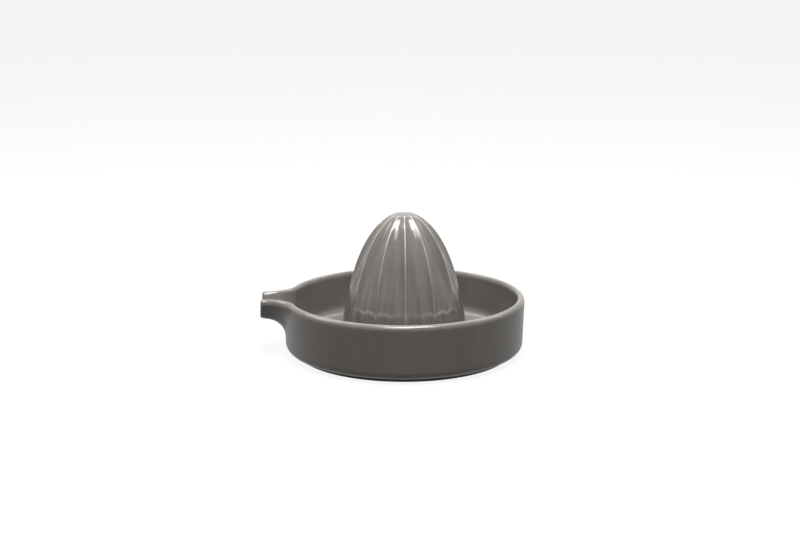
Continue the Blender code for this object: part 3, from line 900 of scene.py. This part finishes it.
# %% [markdown]
# ## The cone: finish
#
# Glaze pulls back from anything sharp while it melts, so every crest carries a fine pale line, and
# the scalloped edge of the band a fainter one. Both lines are also painted highlights, and the
# crest line is brightest high up, where the lamps glint on the crests. The band is made a little
# paler as well, which is painted light. All three are written into the thin_and_painted_light
# attribute.

# %% Finish the cone
LINE_WIDTH = 0.0003
DEEPEST = 0.0034
NEAR = 0.003
LINE_START_RADIUS, LINE_FULL_RADIUS = 0.0052, 0.0068
LOW_LINE = 0.45
LINE_GROWTH_START, LINE_GROWTH = 0.045, 0.030
# Strengths of the pale tone: thin glaze and painted highlight on the crests and the band's edge,
# painted light on the band.
RIB_THIN_AND_HIGHLIGHT, EDGE_THIN_AND_HIGHLIGHT, BAND_PAINTED_LIGHT = 0.90, 0.16, 0.06

cone_skin = finish_piece(cone, "ribbed_cone", cone_glaze)


def thin_and_painted_light_on_cone(r, angle, z, normal):
    """Pale lines along the crests, thin glaze and painted highlight, fainter low down; a fainter
    one on the band's edge; and painted light on the plain band. The hollow, further in than the
    deepest flute, keeps its full glaze."""
    if r < crest(min(z, CONE_TOP)) - DEEPEST and z < CONE_TOP - NEAR:
        return 0.0
    phase = across_rib(angle)
    from_crest = min(phase, 1.0 - phase) * r * math.tau / RIBS
    on_rib = math.exp(-((from_crest / LINE_WIDTH) ** 2)) if z > BAND_EDGE - NEAR else 0.0
    on_rib *= clamp((r - LINE_START_RADIUS) / (LINE_FULL_RADIUS - LINE_START_RADIUS))
    # Painted highlight: the crest line grows brighter higher up, where the lamps glint on the
    # crests.
    growth = clamp((z - LINE_GROWTH_START) / LINE_GROWTH)
    on_rib *= LOW_LINE + (1.0 - LOW_LINE) * growth
    edge_z = BAND_EDGE - edge_dip(angle)
    on_edge = math.exp(-(((z - edge_z) / LINE_WIDTH) ** 2))
    # Painted light: the band below its edge is made paler.
    on_band = clamp((edge_z - z) / (2 * LINE_WIDTH))
    thin_and_painted_light = RIB_THIN_AND_HIGHLIGHT * on_rib + EDGE_THIN_AND_HIGHLIGHT * on_edge + BAND_PAINTED_LIGHT * on_band
    return min(thin_and_painted_light, 1.0)


write_amount(cone_skin, "thin_and_painted_light", thin_and_painted_light_on_cone)
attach(cone_skin, "root")
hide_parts("reamer_cone")

# %% [markdown]
# ## The foot ring
#
# Glaze would weld the dish to the kiln shelf, so the foot is wiped clean before firing and shows
# the bare clay: pale, dry, and speckled with darker grains. It is a small turned ring, so it is
# spun too. A bevel softens its lower edges, as wiping with a sponge does.

# %% Bare clay
CLAY_SPECK = (0.16, 0.13, 0.105, 1.0)
CLAY_PALE = (0.40, 0.34, 0.28, 1.0)


def clay_material(name):
    """Dry stoneware with fine grain and darker specks."""
    material = bpy.data.materials.new(name)
    material.use_nodes = True
    tree = material.node_tree
    shader = tree.nodes["Principled BSDF"]
    grain = noise(tree, tree.nodes.new("ShaderNodeTexCoord").outputs["Object"], 900.0, 6.0)
    tone = two_tones(tree, grain, 0.30, CLAY_SPECK, 0.55, CLAY_PALE)
    tree.links.new(tone, shader.inputs["Base Color"])
    shader.inputs["Roughness"].default_value = 0.88
    bump(tree, grain, 0.35, 0.0002)
    return material


clay = clay_material("bare_stoneware")
print("clay nodes:", len(clay.node_tree.nodes))

# %% Spin the ring
FOOT_WIDTH = 0.0050
FOOT_ROUND = 0.0007
foot = bmesh.new()
section = [(FOOT_RADIUS, DISH_BASE), (FOOT_RADIUS, 0.0)]
section += [(FOOT_RADIUS - FOOT_WIDTH, 0.0), (FOOT_RADIUS - FOOT_WIDTH, DISH_BASE)]
spin(foot, chain(foot, section, closed=True), DISH_STEPS)


def runs_round(edge):
    """Whether both ends of an edge are as far from the axis as each other."""
    first, second = edge.verts
    return abs(first.co.xy.length - second.co.xy.length) < SAME_PLACE


lower = [edge for edge in foot.edges if all(v.co.z < MERGE for v in edge.verts)]
lower = [edge for edge in lower if runs_round(edge)]
bmesh.ops.bevel(
    foot, geom=lower, affect="EDGES", offset=FOOT_ROUND, segments=4, profile=0.5, material=-1
)
foot_skin = finish_piece(foot, "bare_foot", clay)
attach(foot_skin, "root")
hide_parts("foot_ring")

# %% [markdown]
# ## Floor and surroundings
#
# The juicer stands on a plain floor in a pale studio. The background should look white without
# more light on the ware, so floor and world are white only where a ray comes from the camera or
# has been mirrored in the glaze. For the light that they throw on the ware they stay a soft grey,
# and the floor still takes the shadow.

# %% Which rays see the background
def background_rays(nodes, links):
    """1 for rays from the camera, and for those mirrored in or passed through a surface."""
    rays = nodes.new("ShaderNodeLightPath")
    shine = nodes.new("ShaderNodeMath")
    shine.operation = "MAXIMUM"
    links.new(rays.outputs["Is Glossy Ray"], shine.inputs[0])
    links.new(rays.outputs["Is Transmission Ray"], shine.inputs[1])
    every = nodes.new("ShaderNodeMath")
    every.operation = "MAXIMUM"
    links.new(rays.outputs["Is Camera Ray"], every.inputs[0])
    links.new(shine.outputs["Value"], every.inputs[1])
    return every.outputs["Value"]


# %% Floor
FLOOR_REACH = 6.0
FLOOR_TONE = 0.07
FLOOR_LIFT = 0.90


def floor_material(name):
    """A matt floor that is lifted to white for the background's rays."""
    material = bpy.data.materials.new(name)
    material.use_nodes = True
    nodes, links = material.node_tree.nodes, material.node_tree.links
    shader = nodes["Principled BSDF"]
    shader.inputs["Base Color"].default_value = (FLOOR_TONE, FLOOR_TONE, FLOOR_TONE, 1.0)
    shader.inputs["Roughness"].default_value = 0.9
    shader.inputs["Specular IOR Level"].default_value = 0.0
    lift = nodes.new("ShaderNodeEmission")
    lift.inputs["Strength"].default_value = FLOOR_LIFT
    lifted = nodes.new("ShaderNodeAddShader")
    links.new(shader.outputs["BSDF"], lifted.inputs[0])
    links.new(lift.outputs["Emission"], lifted.inputs[1])
    seen = nodes.new("ShaderNodeMixShader")
    links.new(background_rays(nodes, links), seen.inputs["Fac"])
    links.new(shader.outputs["BSDF"], seen.inputs[1])
    links.new(lifted.outputs["Shader"], seen.inputs[2])
    links.new(seen.outputs["Shader"], nodes["Material Output"].inputs["Surface"])
    return material


ground = bmesh.new()
bmesh.ops.create_grid(ground, x_segments=1, y_segments=1, size=FLOOR_REACH)
ground_mesh = bpy.data.meshes.new("studio_floor")
ground.to_mesh(ground_mesh)
ground.free()
ground_mesh.materials.append(floor_material("pale_floor"))
studio_floor = bpy.data.objects.new("studio_floor", ground_mesh)
bpy.context.scene.collection.objects.link(studio_floor)

# %% World
ROOM_LIGHT = 0.05

world = bpy.data.worlds.new("studio")
bpy.context.scene.world = world
world.use_nodes = True
world_nodes, world_links = world.node_tree.nodes, world.node_tree.links
room = world_nodes["Background"]
room.inputs["Color"].default_value = (1.0, 1.0, 1.0, 1.0)
room.inputs["Strength"].default_value = ROOM_LIGHT
white = world_nodes.new("ShaderNodeBackground")
white.inputs["Color"].default_value = (1.0, 1.0, 1.0, 1.0)
seen = world_nodes.new("ShaderNodeMixShader")
world_links.new(background_rays(world_nodes, world_links), seen.inputs["Fac"])
world_links.new(room.outputs["Background"], seen.inputs[1])
world_links.new(white.outputs["Background"], seen.inputs[2])
world_links.new(seen.outputs["Shader"], world_nodes["World Output"].inputs["Surface"])

# %% [markdown]
# ## Softboxes
#
# Glaze shows its lamps almost as a mirror does, so their places matter more than their power. A
# bright softbox overhead, a little to the right, draws the white line along the lip and the
# wedges in the flutes under the crown, and one nearer the front carries them down. A wide dim one
# overhead fills the dish. Three more stand behind: one lights the crown of the far lip, and the
# two at the sides give the fillets and the walls their sheen.

# %% Softboxes
TARGET = Vector((AXIS_X, 0.0, 0.040))


def softbox(name, azimuth, elevation, width, depth, brightness):
    """A rectangular lamp one metre from the juicer. Azimuth 0 is in front and 90 to the right;
    brightness is its radiance, where 1 looks white."""
    flat = math.cos(math.radians(elevation))
    way = Vector((flat * math.sin(math.radians(azimuth)), -flat * math.cos(math.radians(azimuth)),
                  math.sin(math.radians(elevation))))
    lamp = bpy.data.lights.new(name, "AREA")
    lamp.shape = "RECTANGLE"
    lamp.size, lamp.size_y = width, depth
    lamp.energy = brightness * math.pi * width * depth
    box = bpy.data.objects.new(name, lamp)
    box.location = TARGET + way
    box.rotation_euler = way.to_track_quat("Z", "Y").to_euler()
    bpy.context.scene.collection.objects.link(box)
    print(name, "has", round(lamp.energy, 2), "W")


softbox("overhead", 20.0, 80.0, 0.44, 0.50, 22.0)
softbox("overhead_wide", 0.0, 84.0, 1.10, 0.60, 1.2)
softbox("overhead_front", -10.0, 60.0, 0.34, 0.34, 11.0)
softbox("behind", 180.0, 52.0, 0.90, 0.44, 2.6)
softbox("behind_right", 118.0, 42.0, 0.44, 0.40, 3.0)
softbox("behind_left", -112.0, 46.0, 0.50, 0.44, 4.5)

# %% [markdown]
# ## Camera
#
# The photograph's outline was fitted with a pinhole camera: just under a metre away, 28 cm up and
# looking down by 13.7 degrees. The juicer is turned by a hair, so the camera stands off to one
# side by the same angle.

# %% Camera
PICTURE_WIDTH = 800.0
SENSOR = 36.0
FOCAL_PIXELS = 1664.0
SHIFT_PIXELS = -4.1
AWAY, UP = 0.9717, 0.2842
TURNED = math.radians(-1.65)
DOWN = 13.69

camera = bpy.data.cameras.new("photograph")
camera.sensor_width = SENSOR
camera.lens = SENSOR * FOCAL_PIXELS / PICTURE_WIDTH
camera.shift_x = SHIFT_PIXELS / PICTURE_WIDTH
camera.clip_start = 0.01
eye = bpy.data.objects.new("photograph", camera)
eye.location = (AXIS_X + AWAY * math.sin(TURNED), -AWAY * math.cos(TURNED), UP)
eye.rotation_euler = (math.radians(90.0 - DOWN), 0.0, TURNED)
bpy.context.scene.collection.objects.link(eye)
bpy.context.scene.camera = eye
bpy.context.scene.view_settings.view_transform = "Standard"
print("lens:", round(camera.lens, 2), "mm on a sensor of", SENSOR, "mm")
